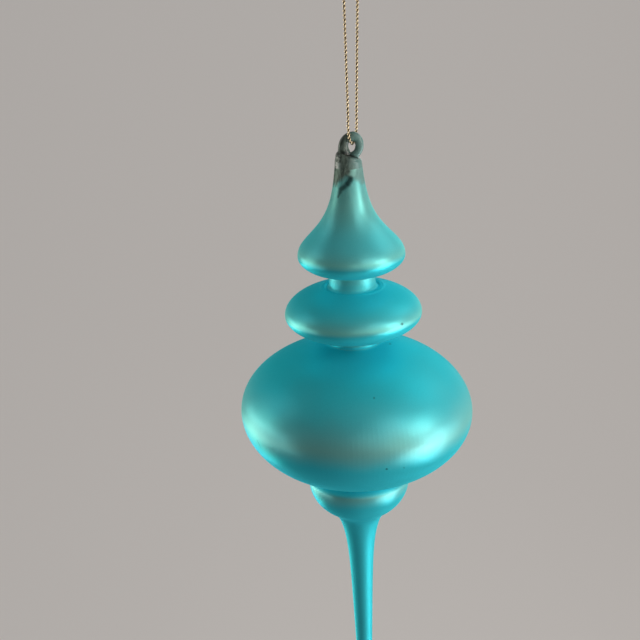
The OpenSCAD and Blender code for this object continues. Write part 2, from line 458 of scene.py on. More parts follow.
def hand_blown(piece, form, tilt, phase):
    """Takes the lathe-like perfection off a section: the widest line dips to one side, and it is a
    little out of round. Both die out at the waists, which have to meet their neighbours."""
    wobble, wave_height = 0.12 * MM, 9 * MM
    waist = max(form.top_radius, form.bottom_radius)
    for v in piece.data.vertices:
        x, y, z = v.co
        r, a = math.hypot(x, y), math.atan2(y, x)
        weight = clamped((r - waist) / (form.radius - waist))
        two_lobes, three_lobes = math.cos(2 * a + phase), math.cos(3 * a + 2 * phase + z / wave_height)
        swell = 0.6 * two_lobes + 0.4 * three_lobes
        scale = 1 + weight * wobble * swell / max(r, MM)
        v.co = (x * scale, y * scale, z - math.tan(tilt) * x * weight)


# ---------------------------------------------------------------- shader groups

ORIGIN = (0, 0, 0)


def feed(tree, socket, value):
    """Links what comes out of another node to a socket, or sets a plain value on it."""
    if isinstance(value, bpy.types.NodeSocket):
        tree.links.new(value, socket)
    elif value is not None:
        socket.default_value = (*value[:3], 1) if socket.type == "RGBA" else value


def feed_all(tree, sockets, **values):
    """Feeds sockets by their names, with an underscore for each space."""
    for name, value in values.items():
        feed(tree, sockets[name.replace("_", " ")], value)


def new_group(name, inputs, outputs):
    """An empty shader node group. Inputs come as name and default, outputs as name and type."""
    group = bpy.data.node_groups.new(name, "ShaderNodeTree")
    for label, default in inputs.items():
        kind = "Float" if isinstance(default, float) else {3: "Vector", 4: "Color"}[len(default)]
        socket = group.interface.new_socket(name=label, in_out="INPUT", socket_type="NodeSocket" + kind)
        socket.default_value = default
    for label, kind in outputs.items():
        group.interface.new_socket(name=label, in_out="OUTPUT", socket_type="NodeSocket" + kind)
    given, out = group.nodes.new("NodeGroupInput"), group.nodes.new("NodeGroupOutput")
    return group, given.outputs, out.inputs


def use_group(tree, name, **given):
    node = tree.nodes.new("ShaderNodeGroup")
    node.node_tree = bpy.data.node_groups[name]
    feed_all(tree, node.inputs, **given)
    return node.outputs


def math_node(tree, operation, a, b, clamp=False):
    node = tree.nodes.new("ShaderNodeMath")
    node.operation, node.use_clamp = operation, clamp
    feed(tree, node.inputs[0], a)
    feed(tree, node.inputs[1], b)
    return node.outputs[0]


def vector_node(tree, operation, a, b=None):
    """b is a second vector, or for SCALE the number to multiply by."""
    node = tree.nodes.new("ShaderNodeVectorMath")
    node.operation = operation
    feed(tree, node.inputs[0], a)
    feed(tree, node.inputs["Scale" if operation == "SCALE" else 1], b)
    return node.outputs["Value" if operation in ("LENGTH", "DOT_PRODUCT") else "Vector"]


def split_xyz(tree, vector):
    node = tree.nodes.new("ShaderNodeSeparateXYZ")
    feed(tree, node.inputs[0], vector)
    return node.outputs


def mix_colours(tree, factor, a, b, blend="MIX"):
    node = tree.nodes.new("ShaderNodeMix")
    node.data_type, node.blend_type = "RGBA", blend
    for index, value in ((0, factor), (6, a), (7, b)):
        feed(tree, node.inputs[index], value)
    return node.outputs[2]


def map_range(tree, value, low, high, to_low=0.0, to_high=1.0):
    """Eases from one number to another while a value goes from low to high."""
    node = tree.nodes.new("ShaderNodeMapRange")
    node.interpolation_type = "SMOOTHSTEP"
    feed_all(tree, node.inputs, Value=value, From_Min=low, From_Max=high, To_Min=to_low, To_Max=to_high)
    return node.outputs["Result"]


def noise(tree, vector, scale, detail=2.0, roughness=0.5, distortion=0.0, output="Fac"):
    node = tree.nodes.new("ShaderNodeTexNoise")
    feed_all(tree, node.inputs, Vector=vector, Scale=scale, Detail=detail, Roughness=roughness,
             Distortion=distortion)
    return node.outputs[output]


def glass_place_group():
    """Turns a place on the piece into millimetres in the upright frame of the glass."""
    group, given, out = new_group("glass place", {"Place": ORIGIN}, {"Place": "Vector"})
    upright = group.nodes.new("ShaderNodeMapping")
    upright.vector_type = "TEXTURE"
    feed_all(group, upright.inputs, Vector=given["Place"], Location=AXIS.to_translation(),
             Rotation=AXIS.to_euler(), Scale=(MM, MM, MM))
    feed(group, out["Place"], upright.outputs[0])


def stroke_group():
    """Mask of a soft-edged stroke between two places, wide in depth so that it lies on any surface
    it passes."""
    group, given, out = new_group(
        "stroke",
        {"Place": ORIGIN, "Start": ORIGIN, "End": (0, 0, 1), "Start width": 1.0, "End width": 1.0},
        {"Mask": "Float"},
    )
    run = vector_node(group, "SUBTRACT", given["End"], given["Start"])
    from_start = vector_node(group, "SUBTRACT", given["Place"], given["Start"])
    along = math_node(group, "DIVIDE", vector_node(group, "DOT_PRODUCT", from_start, run),
                      vector_node(group, "DOT_PRODUCT", run, run), clamp=True)
    apart = vector_node(group, "SUBTRACT", from_start, vector_node(group, "SCALE", run, along))
    apart = vector_node(group, "LENGTH", vector_node(group, "MULTIPLY", apart, (1, 0.45, 1)))
    spread = math_node(group, "SUBTRACT", given["End width"], given["Start width"])
    width = math_node(group, "ADD", given["Start width"], math_node(group, "MULTIPLY", along, spread))
    feed(group, out["Mask"], map_range(group, math_node(group, "DIVIDE", apart, width), 1.5, 0.3))


def ragged_group():
    """Shifts places about by noise, so that what is drawn on them gets a ragged edge."""
    group, given, out = new_group(
        "ragged edge", {"Place": ORIGIN, "Shift": 1.0, "Scale": 0.6}, {"Place": "Vector"},
    )
    waves = noise(group, given["Place"], given["Scale"], detail=3.0, output="Color")
    centred = vector_node(group, "SUBTRACT", waves, (0.5, 0.5, 0.5))
    shift = vector_node(group, "SCALE", centred, given["Shift"])
    feed(group, out["Place"], vector_node(group, "ADD", given["Place"], shift))


def play_of_colour_and_light_group():
    """Lacquer colour by which way it faces, partly its own tint and partly painted light: brighter and
    bluer on what faces up, less red on what faces down, with slow drifts between and a fine pearl grain."""
    group, given, out = new_group(
        "play of colour and light",
        {"Place": ORIGIN, "Spray": 0.5, "Base": (0, 0.4, 0.4, 1), "Full": (0, 0.3, 0.4, 1),
         "Thin": (0.1, 0.5, 0.4, 1), "Drift": 0.1},
        {"Colour": "Color", "Grain": "Float"},
    )
    drift = noise(group, given["Place"], 0.055, detail=1.5)
    grain = noise(group, given["Place"], 2.6, roughness=0.7)
    drift = math_node(group, "MULTIPLY", math_node(group, "SUBTRACT", drift, 0.5), given["Drift"])
    facing_tint_and_light = math_node(group, "ADD", given["Spray"], drift)
    # Partly painted light: what faces up is painted brighter and bluer
    colour = mix_colours(group, map_range(group, facing_tint_and_light, 0.46, 0.92), given["Base"], given["Full"])
    colour = mix_colours(group, map_range(group, facing_tint_and_light, 0.52, 0.28), colour, given["Thin"])
    flecks = map_range(group, grain, 0.35, 0.7, 0.975, 1.02)
    fleck_colour = group.nodes.new("ShaderNodeCombineColor")
    for socket in fleck_colour.inputs[:3]:
        feed(group, socket, flecks)
    colour = mix_colours(group, 1.0, colour, fleck_colour.outputs[0], "MULTIPLY")
    feed_all(group, out, Colour=colour, Grain=grain)


def satin_group():
    """Roughness and height of a satin skin: even, with slow waves, fingered patches and fine grain."""
    group, given, out = new_group(
        "satin skin", {"Place": ORIGIN, "Roughness": 0.4, "Grain": 0.5},
        {"Roughness": "Float", "Height": "Float"},
    )
    waves = noise(group, given["Place"], 0.09, detail=1.0)
    handled = noise(group, given["Place"], 0.16, detail=4.0, roughness=0.65)
    patches = map_range(group, handled, 0.45, 0.75, -0.015, 0.045)
    fine = math_node(group, "MULTIPLY", given["Grain"], 0.02)
    feed_all(group, out, Roughness=math_node(group, "ADD", given["Roughness"], patches),
             Height=math_node(group, "ADD", waves, fine))


def bare_glass_group():
    """Streaky grey-green glass with no silvering: darker to the left, tealer to the right, and the
    mask of where it shows at the top of the neck."""
    group, given, out = new_group(
        "bare glass",
        {"Place": ORIGIN, "Glass": (0.1, 0.1, 0.1, 1), "Teal": (0.1, 0.3, 0.3, 1)},
        {"Colour": "Color", "Mask": "Float"},
    )
    drawn = vector_node(group, "MULTIPLY", given["Place"], (0.9, 0.9, 0.3))
    streaks = noise(group, drawn, 0.9, detail=4.0, roughness=0.6, distortion=0.6)
    ragged = use_group(group, "ragged edge", Place=given["Place"], Shift=3.0, Scale=0.28)["Place"]
    ragged = split_xyz(group, ragged)
    x, z = ragged["X"], ragged["Z"]
    dark = mix_colours(group, 0.62, given["Glass"], (0.008, 0.012, 0.01))
    light = mix_colours(group, 0.3, given["Glass"], (0.4, 0.52, 0.44))
    colour = mix_colours(group, map_range(group, streaks, 0.34, 0.66), dark, light)
    colour = mix_colours(group, map_range(group, x, -0.8, 2.8, 0.0, 0.85), colour, given["Teal"])
    bowed = math_node(group, "MULTIPLY", math_node(group, "MULTIPLY", x, x), 0.14)
    level = math_node(group, "ADD", z, math_node(group, "MINIMUM", bowed, 4.0))
    sharp = map_range(group, level, -12.8, -8.6)
    wide = map_range(group, level, -25.0, -10.0, 0.0, 0.4)
    feed_all(group, out, Colour=colour, Mask=math_node(group, "MAXIMUM", sharp, wide))


# A group comes after those that it uses
GROUPS = {
    "glass place": glass_place_group, "stroke": stroke_group, "ragged edge": ragged_group,
    "play of colour and light": play_of_colour_and_light_group, "satin skin": satin_group, "bare glass": bare_glass_group,
}


# ---------------------------------------------------------------- materials

def made_once(build):
    """Makes a material when it is first asked for, under the name of the function that builds it, and
    hands out the same one after that. What builds it gets its node tree, the inputs of its surface
    shader and the place on the piece."""
    name = build.__name__

    def made():
        if name in bpy.data.materials:
            return bpy.data.materials[name]
        for group, build_group in GROUPS.items():
            if group not in bpy.data.node_groups:
                build_group()
        material = bpy.data.materials.new(name)
        material.use_nodes = True
        tree = material.node_tree
        place = tree.nodes.new("ShaderNodeTexCoord").outputs["Object"]
        build(tree, tree.nodes["Principled BSDF"].inputs, place)
        return material

    return made


def attribute(tree, name):
    node = tree.nodes.new("ShaderNodeAttribute")
    node.attribute_name = name
    return node.outputs["Fac"]


def bump(tree, height, distance):
    node = tree.nodes.new("ShaderNodeBump")
    feed_all(tree, node.inputs, Height=height, Distance=distance)
    return node.outputs["Normal"]


def painted(tree, colour, place, strokes, shade):
    """Lays strokes of one colour over another. Each stroke is two ends, two widths and a strength."""
    covered = 0.0
    for start, end, start_width, end_width, strength in strokes:
        mask = use_group(tree, "stroke", Place=place, Start=start, End=end, Start_width=start_width,
                         End_width=end_width)["Mask"]
        covered = math_node(tree, "MAXIMUM", math_node(tree, "MULTIPLY", mask, strength), covered)
    return mix_colours(tree, covered, colour, shade)


# Marks of the making, the painted highlight on the neck and the painted shade on the eye, in millimetres
# in the frame of the glass: start, end, widths, strength
NECK_SWIRL = [
    ((0.5, -4.8, -10.6), (-0.5, -4.9, -12.0), 0.95, 1.1, 0.88),
    ((-0.5, -4.9, -12.0), (-2.6, -4.6, -14.0), 1.05, 0.75, 0.75),
    ((-2.6, -4.6, -14.0), (-3.7, -4.4, -16.6), 0.7, 0.35, 0.7),
    ((0.9, -4.2, -5.9), (1.1, -4.3, -7.0), 0.35, 0.5, 0.7),
]
# Painted highlight: pale mint patches on the neck that stand in for a reflection of light
NECK_PAINTED_HIGHLIGHT = [
    ((1.3, -4.6, -9.0), (1.6, -4.5, -7.6), 1.0, 0.9, 0.6),
    ((2.2, -4.2, -7.4), (2.6, -4.0, -5.9), 0.45, 0.25, 0.6),
    ((-1.1, -3.6, -5.4), (-1.1, -3.6, -5.6), 0.35, 0.35, 0.7),
]
# Painted shade: dark strokes under the bend of the eye and where its rod meets the neck
EYE_PAINTED_SHADE = [
    ((-3.6, -1.5, -1.9), (-2.8, -2.2, -3.9), 0.35, 0.45, 0.85),
    ((-1.3, -1.9, -2.4), (0.4, -1.9, -3.5), 0.55, 0.75, 0.85),
    ((0.4, -1.9, -3.5), (2.0, -1.9, -4.2), 0.75, 0.5, 0.85),
    ((2.0, -1.9, -4.2), (3.7, -1.9, -4.3), 0.4, 0.25, 0.8),
]
PINHOLES = [
    ((5.8, -30.0, -77.1), (5.8, -30.0, -77.3), 0.25, 0.25, 0.45),
    ((9.0, -38.2, -98.6), (9.1, -38.2, -98.9), 0.35, 0.35, 0.7),
    ((14.8, -36.0, -99.5), (14.9, -36.0, -99.6), 0.3, 0.3, 0.35),
    ((15.7, -16.8, -56.7), (15.9, -16.8, -56.9), 0.35, 0.35, 0.75),
    ((-33.6, -21.7, -94.9), (-32.4, -22.9, -97.4), 0.3, 0.3, 0.3),
    ((12.1, -1.6, -69.3), (12.1, -1.6, -69.7), 0.4, 0.4, 0.3),
]


@made_once
def satin_lacquer(tree, shader, place):
    """Silvered glass under satin teal lacquer, bare at the top of the neck, with painted light in its
    colour.
    """
    given = bpy.context.scene.ornament_glass
    place = use_group(tree, "glass place", Place=place)["Place"]
    facing_tint_and_light = attribute(tree, "facing_tint_and_light")
    paler = map_range(tree, split_xyz(tree, place)["Z"], -72, -62)
    lacquer = mix_colours(tree, paler, given.lacquer, given.lacquer_pale)
    # Colour by which way the lacquer faces: partly its tint and partly painted light, brighter on what
    # faces up
    play = use_group(tree, "play of colour and light", Place=place, Spray=facing_tint_and_light, Base=lacquer,
                     Full=given.lacquer_up_and_light, Thin=given.lacquer_down, Drift=0.15)
    full_matt = map_range(tree, facing_tint_and_light, 0.5, 0.85, 0.33, 0.42)
    thin_matt = map_range(tree, facing_tint_and_light, 0.27, 0.21, 0.33, 0.52)
    matt = math_node(tree, "MAXIMUM", full_matt, thin_matt)
    skin = use_group(tree, "satin skin", Place=place, Roughness=matt, Grain=play["Grain"])
    bare = use_group(tree, "bare glass", Place=place, Glass=given.bare_glass, Teal=given.bare_teal)
    ragged = use_group(tree, "ragged edge", Place=place, Shift=1.0, Scale=0.5)["Place"]
    colour = painted(tree, play["Colour"], ragged, PINHOLES, (0.01, 0.05, 0.05))
    colour = mix_colours(tree, bare["Mask"], colour, bare["Colour"])
    # Painted highlight on the neck
    colour = painted(tree, colour, ragged, NECK_PAINTED_HIGHLIGHT, (0.36, 0.72, 0.64))
    colour = painted(tree, colour, ragged, NECK_SWIRL, (0.012, 0.024, 0.026))
    silvered = map_range(tree, facing_tint_and_light, 0.55, 0.95, 0.38, 0.32)
    hidden = map_range(tree, bare["Mask"], 0.0, 1.0, 1.0, 0.3)
    feed_all(
        tree, shader, Base_Color=colour, Roughness=skin["Roughness"],
        Metallic=math_node(tree, "MULTIPLY", silvered, hidden), Specular_IOR_Level=0.0,
        Specular_Tint=(0.5, 0.95, 0.95), Normal=bump(tree, skin["Height"], 0.05 * MM),
    )


@made_once
def eye_rod(tree, shader, place):
    """Solid grey-green glass of the eye, with painted shade under its bend and where it meets the neck."""
    given = bpy.context.scene.ornament_glass
    place = use_group(tree, "glass place", Place=place)["Place"]
    bare = use_group(tree, "bare glass", Place=place, Glass=given.bare_glass, Teal=given.bare_teal)
    skin = use_group(tree, "satin skin", Place=place, Roughness=0.22, Grain=0.5)
    ragged = use_group(tree, "ragged edge", Place=place, Shift=1.2, Scale=0.7)["Place"]
    # Painted shade under the bend of the eye and where it meets the neck
    colour = painted(tree, bare["Colour"], ragged, EYE_PAINTED_SHADE, (0.008, 0.014, 0.012))
    feed_all(
        tree, shader, Base_Color=colour, Roughness=skin["Roughness"], Transmission_Weight=0.2, IOR=1.5,
        Normal=bump(tree, skin["Height"], 0.15 * MM),
    )


@made_once
def thread_gold(tree, shader, place):
    """Metallic foil wrapped on yarn, darker in the furrows of the twist: partly the yarn, partly painted
    shade.
    """
    given = bpy.context.scene.ornament_thread
    glints = noise(tree, place, 2600, detail=3.0, roughness=0.7)
    # Yarn colour in the furrows, partly painted shade, with random wear of the foil on top
    wear_and_furrow_shade = math_node(tree, "ADD", attribute(tree, "crown"), math_node(tree, "SUBTRACT", glints, 0.5))
    foil = map_range(tree, wear_and_furrow_shade, 0.4, 0.95)
    feed_all(
        tree, shader, Base_Color=mix_colours(tree, foil, given.core, given.gold),
        Roughness=map_range(tree, foil, 0.0, 1.0, 0.6, 0.24),
        Metallic=map_range(tree, foil, 0.0, 1.0, 0.3, 1.0), Normal=bump(tree, glints, 0.08 * MM),
    )


@made_once
def backdrop_paint(tree, shader, place):
    """Matt paint that is pale to the camera, and in what the glass mirrors of the part behind it. All
    other light meets the colour of a dim room."""
    given = bpy.context.scene.ornament_stage
    path = tree.nodes.new("ShaderNodeLightPath").outputs
    behind = map_range(tree, split_xyz(tree, place)["Y"], 0.0, 0.8)
    mirrored = math_node(tree, "MAXIMUM", path["Is Glossy Ray"], path["Is Transmission Ray"])
    mirrored = math_node(tree, "MULTIPLY", mirrored, behind)
    seen = math_node(tree, "MAXIMUM", path["Is Camera Ray"], mirrored)
    feed_all(
        tree, shader, Base_Color=mix_colours(tree, seen, given.room_colour, given.wall_colour),
        Roughness=0.9, Specular_IOR_Level=0.1, Emission_Color=given.wall_colour,
        Emission_Strength=math_node(tree, "MULTIPLY", seen, given.wall_glow),
    )


# ---------------------------------------------------------------- the thread

# Route of the thread, in millimetres: from the knot down the front leg, through the eye and up again
THREAD_ROUTE = [
    (-0.4, 0, 0.9), (-1.3, 0, -0.1), (-2, -0.1, -1.4), (-2.4, -0.2, -3.2), (-2.5, -0.3, -5.5),
    (-2.4, -0.5, -10), (-2.2, -0.8, -20), (-2, -1.2, -30), (-1.8, -1.6, -40), (-1.6, -1.9, -50),
    (-1.4, -2.2, -60), (-1.4, -2.2, -62), (-1.4, -2.2, -64), (-1.3, -2.3, -65.5), (-1.2, -2.4, -67),
    (-0.9, -2.2, -68.4), (-0.5, -1.6, -69.4), (-0.2, -0.8, -69.9), (0, 0, -70),
    (0.2, 0.8, -69.9), (0.5, 1.6, -69.4), (0.9, 2.2, -68.4),
    (1.2, 2.4, -67), (1.3, 2.3, -65.5), (1.4, 2.2, -64), (1.4, 2.2, -62), (1.4, 2.2, -60),
    (1.6, 1.9, -50), (1.8, 1.6, -40), (2, 1.2, -30), (2.2, 0.8, -20), (2.4, 0.5, -10),
    (2.5, 0.3, -5.5), (2.4, 0.2, -3.2), (2, 0.1, -1.4), (1.3, 0, -0.1), (0.4, 0, 0.9),
]
TAIL_ROUTES = [
    [(-0.6, 0, 2.2), (-0.8, 0.1, 3.6), (-1.2, 0.3, 5.5), (-1.9, 0.4, 7.5), (-2.3, 0.3, 9.5),
     (-2.4, 0.1, 11)],
    [(0.6, 0, 2.2), (0.8, -0.1, 3.6), (1.2, -0.3, 5), (1.6, -0.4, 7), (1.5, -0.3, 9), (1.2, -0.2, 10)],
]


def eased_route(route, step):
    """Points about one step apart on the smooth curve through a route, in metres."""
    p = [Vector(q) * MM for q in route]
    eased = []
    for i in range(len(p) - 1):
        a, b, c, d = p[max(i - 1, 0)], p[i], p[i + 1], p[min(i + 2, len(p) - 1)]
        count = max(1, round((c - b).length / step))
        for j in range(count):
            t = j / count
            eased.append(b + t / 2 * (c - a) + t ** 2 / 2 * (2 * a - 5 * b + 4 * c - d)
                         + t ** 3 / 2 * (3 * b - a - 3 * c + d))
    return eased + [p[-1]]


def route_length(points):
    return sum((b - a).length for a, b in zip(points, points[1:]))


def ply_section(name, diameter):
    """Cross-section of two plies lying side by side, each open towards the other."""
    ply, half_round = diameter * 0.29, 125
    steps = 8
    points = []
    for side in (1, -1):
        for i in range(steps):
            a = math.radians(-half_round + 2 * half_round * i / (steps - 1))
            points.append((side * (diameter / 2 - ply + ply * math.cos(a)), side * ply * math.sin(a), 0))
    section = bpy.data.curves.new(name, "CURVE")
    section.dimensions = "2D"
    add_spline(section, points)
    section.splines[0].use_cyclic_u = True
    return add_to_scene(name, section)


def twisted_thread(name, routes, diameter, lay):
    """Two plies twisted together along each route, as one mesh."""
    section = ply_section(name + "_section", diameter)
    curve = bpy.data.curves.new(name, "CURVE")
    curve.dimensions, curve.twist_mode = "3D", "MINIMUM"
    curve.bevel_mode, curve.bevel_object = "OBJECT", section
    curve.use_fill_caps = True
    turn_steps = 14
    for route in routes:
        places = eased_route(route, lay / turn_steps)
        points = add_spline(curve, places)
        travelled = 0.0
        for i in range(1, len(places)):
            travelled += (places[i] - places[i - 1]).length
            points[i].tilt = math.tau * travelled / lay
    piece = mesh_from_curve(name, curve)
    bpy.data.objects.remove(section)
    edit_active()
    weld_and_leave_edit()
    record_crown(piece, routes, diameter)
    return piece


def record_crown(piece, routes, diameter):
    """Keeps for each point how far out it stands on the twist: 0 in the furrow, 1 on the crown."""
    middle = [p for route in routes for p in eased_route(route, 0.1 * MM)]
    tree = KDTree(len(middle))
    for i, place in enumerate(middle):
        tree.insert(place, i)
    tree.balance()
    crown = piece.data.attributes.new("crown", "FLOAT", "POINT")
    inner, outer = 0.27 * diameter, 0.47 * diameter
    for i, v in enumerate(piece.data.vertices):
        away = tree.find(v.co)[2]
        crown.data[i].value = clamped((away - inner) / (outer - inner))


class ORNAMENT_OT_knot(bpy.types.Operator):
    """Make the overhand knot and the two free ends above it"""

    bl_idname = "ornament.knot"
    bl_label = "Knot and free ends"

    def execute(self, context):
        given = context.scene.ornament_thread
        tails = twisted_thread("free_ends", TAIL_ROUTES, given.diameter, given.lay)
        finish_piece(tails, thread_gold())
        low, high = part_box("thread_knot")
        centre = box_middle("thread_knot") / MM
        lobe = (high - low).x / 2 * 0.36 / MM
        depth = 0.9 * lobe
        steps = 40
        route = []
        for i in range(steps + 1):
            t = math.tau * i / steps
            x, z = math.sin(t) + 2 * math.sin(2 * t), math.cos(t) - 2 * math.cos(2 * t)
            y = -depth * math.sin(3 * t)
            route.append((centre.x + lobe * x, centre.y + y, centre.z + lobe * z))
        knot = twisted_thread("overhand_knot", [route], given.diameter, given.lay)
        finish_piece(knot, thread_gold())
        for piece, node in ((tails, "thread_tails"), (knot, "thread_knot")):
            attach(piece, "hanger")
            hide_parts(node)
        return {"FINISHED"}


class ORNAMENT_OT_thread(bpy.types.Operator):
    """Make the thread loop that carries the glass"""

    bl_idname = "ornament.thread"
    bl_label = "Thread loop"

    def execute(self, context):
        given = context.scene.ornament_thread
        path = eased_route(THREAD_ROUTE, given.diameter)
        loop = twisted_thread("thread", [THREAD_ROUTE], given.diameter, given.lay)
        finish_piece(loop, thread_gold())
        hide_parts("thread_loop", "thread_foot")
        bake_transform(loop)
        tuple(path[0])
        route_length(path)
        [tuple(p) for p in path]
        return {"FINISHED"}


# ---------------------------------------------------------------- the glass

# Middle of the bent rod of the eye in the frame of the glass, and the radius of the rod there, in
# millimetres: from inside the neck up the left, over the top and down the right
EYE_CROOK = [
    (-1.5, 0, -7.0, 2.9), (-1.45, 0, -4.8, 2.6), (-1.35, 0, -3.0, 2.25), (-1.45, 0, -1.6, 1.82),
    (-1.42, 0, -0.4, 1.62), (-0.95, 0, 1.0, 1.52), (0.3, 0, 2.1, 1.55), (2.0, 0, 2.42, 1.62),
    (3.2, 0, 1.6, 1.48), (3.76, -0.1, 0.15, 1.42), (3.68, -0.25, -1.4, 1.38), (3.05, -0.4, -2.8, 1.32),
    (1.95, -0.4, -3.7, 1.35), (0.9, -0.3, -4.1, 1.3),
]

# How much each section's value is lifted over what its facing gives, which moves its tint and painted
# light
FACING_LIFT = {
    "top_bell": -0.11, "upper_collar": 0.2, "disc": -0.06, "lower_collar": 0.2,
    "main_bulb": -0.03, "cup": -0.04, "spike": -0.3,
}


def record_facing(piece, lift):
    """Keeps for each point a value that the material reads for the lacquer's tint and painted light: 0.5
    on what faces sideways, more on what faces up and less on what faces down, and the lift of the whole
    section."""
    mesh = piece.data
    up = np.empty(len(mesh.vertices) * 3, np.float32)
    mesh.vertices.foreach_get("normal", up)
    facing_tint_and_light = mesh.attributes.new("facing_tint_and_light", "FLOAT", "POINT")
    facing_tint_and_light.data.foreach_set("value", 0.5 + lift + 0.5 * up[2::3])


def place_glass(piece, node):
    """Leans an upright piece on its axis and lets it ride with the glass."""
    solid = node == "hanging_eye"
    if not solid:
        record_facing(piece, FACING_LIFT[node])
    piece.matrix_world = AXIS
    finish_piece(piece, eye_rod() if solid else satin_lacquer())
    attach(piece, "ornament")
    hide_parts(node)


def blown_section(name, node, tilt=None, phase=0.0):
    """One hollow section, spun from its outline. A tilt takes the evenness of a lathe off it."""
    given = bpy.context.scene.ornament_glass
    piece = turned_piece(name, shell_outline(glass_outlines()[node], given.wall), given.segments)
    if tilt is not None:
        hand_blown(piece, Turned(node), math.radians(tilt), phase)
    place_glass(piece, node)


class ORNAMENT_OT_eye(bpy.types.Operator):
    """Bend the eye from glass rod and fuse it to the top of the neck"""

    bl_idname = "ornament.eye"
    bl_label = "Hanging eye"

    def execute(self, context):
        foot = self.foot(Turned("top_bell"))
        eye = self.crook()
        foot.select_set(True)
        bpy.ops.object.join()
        eye.name = eye.data.name = "hanging_eye_glass"
        melt = eye.modifiers.new("melt", "REMESH")
        melt.mode, melt.voxel_size = "VOXEL", 0.11 * MM
        soften = eye.modifiers.new("soften", "SMOOTH")
        soften.factor, soften.iterations = 0.5, 9
        for modifier in (melt.name, soften.name):
            bpy.ops.object.modifier_apply(modifier=modifier)
        place_glass(eye, "hanging_eye")
        return {"FINISHED"}

    def crook(self):
        """A rod bent up, over and back down, a little flatter than it is wide."""
        flatness = 0.86
        curve = bpy.data.curves.new("crook", "CURVE")
        curve.dimensions = "3D"
        curve.bevel_depth, curve.bevel_resolution = 1 * MM, 12
        curve.use_fill_caps = True
        route = eased_route([p[:3] for p in EYE_CROOK], 0.2 * MM)
        for point, place in zip(add_spline(curve, route), route):
            point.radius = self.rod_radius(place)
        crook = mesh_from_curve("crook", curve)
        edit_active()
        bpy.ops.transform.resize(value=(1, flatness, 1), center_override=(0, 0, 0))
        leave_edit()
        return crook

    def rod_radius(self, place):
        """The rod thins between its hand-pulled ends: the nearest two marks on the route settle it."""
        marks = sorted((((Vector(p[:3]) * MM - place).length, p[3]) for p in EYE_CROOK))[:2]
        (near, r0), (far, r1) = marks
        return r0 + (r1 - r0) * near / (near + far)

    def foot(self, neck):
        """The domed top of the neck, higher on the side the rod rises from."""
        rim, dome, sink = neck.top, 4.2 * MM, 2.6 * MM
        rise, edge = 2.0 * MM, 1.3 * MM
        lap, inset, slant = 0.05 * MM, 0.3 * MM, 0.3
        outline = [(0.0, rim + rise)]
        steps = 8
        for i in range(steps + 1):
            a = math.radians(90 * (1 - i / steps))
            outline.append((dome - edge + edge * math.cos(a), rim + rise - edge + edge * math.sin(a)))
        skirt = [p for p in bell_outline(neck) if p[1] > rim - sink]
        last = len(skirt) - 1
        outline += [(r + lap * (1 - i / last), z) for i, (r, z) in enumerate(skirt)]
        radius, height = outline[-1]
        outline += [(radius - inset, height), (0.0, height)]
        foot = turned_piece("foot", outline, 72, closed=False)
        for v in foot.data.vertices:
            v.co.z -= slant * clamped((v.co.z - rim) / rise) * v.co.x
        return foot


class ORNAMENT_OT_bell(bpy.types.Operator):
    """Turn the neck and the bell below it"""

    bl_idname = "ornament.bell"
    bl_label = "Neck and bell"

    def execute(self, context):
        blown_section("neck_and_bell", "top_bell")
        return {"FINISHED"}


class ORNAMENT_OT_sections(bpy.types.Operator):
    """Blow the disc, the main bulb and the cup"""

    bl_idname = "ornament.sections"
    bl_label = "Disc, bulb and cup"

    def execute(self, context):
        blown_section("blown_disc", "disc", tilt=-0.3, phase=0.7)
        blown_section("blown_bulb", "main_bulb", tilt=1.4, phase=2.1)
        blown_section("blown_cup", "cup", tilt=0.2, phase=4.0)
        return {"FINISHED"}


class ORNAMENT_OT_collars(bpy.types.Operator):
    """Draw the two short collars between the sections"""

    bl_idname = "ornament.collars"
    bl_label = "Collars"

    def execute(self, context):
        blown_section("drawn_upper_collar", "upper_collar")
        blown_section("drawn_lower_collar", "lower_collar")
        return {"FINISHED"}


class ORNAMENT_OT_spike(bpy.types.Operator):
    """Draw out the spike"""

    bl_idname = "ornament.spike"
    bl_label = "Spike"

    def execute(self, context):
        given = context.scene.ornament_glass
        bottom, tip = Turned("spike").bottom, given.tip_diameter / 2
        outer = glass_outlines()["spike"]
        hollow = [p for p in outer if p[0] > 2 * given.wall]
        inner = inner_wall(hollow, given.wall)
        angles = [math.radians(15 * k) for k in range(1, 6)]
        round_tip = [(tip * math.cos(a), bottom + tip - tip * math.sin(a)) for a in angles]
        floor = (0.0, hollow[-1][1] - given.wall)
        outline = outer + round_tip + [(0.0, bottom), floor] + inner[::-1]
        place_glass(turned_piece("drawn_spike", outline, given.segments), "spike")
        return {"FINISHED"}


# ---------------------------------------------------------------- the stage

def direction(azimuth, elevation):
    """Unit vector away from the object, from angles in radians. Azimuth 0 is to the front, and a
    positive one is to the right of it."""
    level = math.cos(elevation)
    return Vector((math.sin(azimuth) * level, -math.cos(azimuth) * level, math.sin(elevation)))


def add_lamp(name, azimuth, elevation, distance, size, power, colour=(1, 1, 1)):
    """A square soft lamp that faces the bulb, out of the camera's sight."""
    away = direction(math.radians(azimuth), math.radians(elevation))
    data = bpy.data.lights.new(name, "AREA")
    data.size, data.energy, data.color = size, power, colour
    lamp = add_to_scene(name, data)
    lamp.location = box_middle("main_bulb") + away * distance
    lamp.rotation_euler = away.to_track_quat("Z", "Y").to_euler()
    lamp.visible_camera = False


# From the middle of the bulb to the point that the camera looks at, in millimetres
AIM = (-12.02, 0, 32.32)
# Colour and strength of the even light all round
WORLD = (1, 1, 1, 0.06)
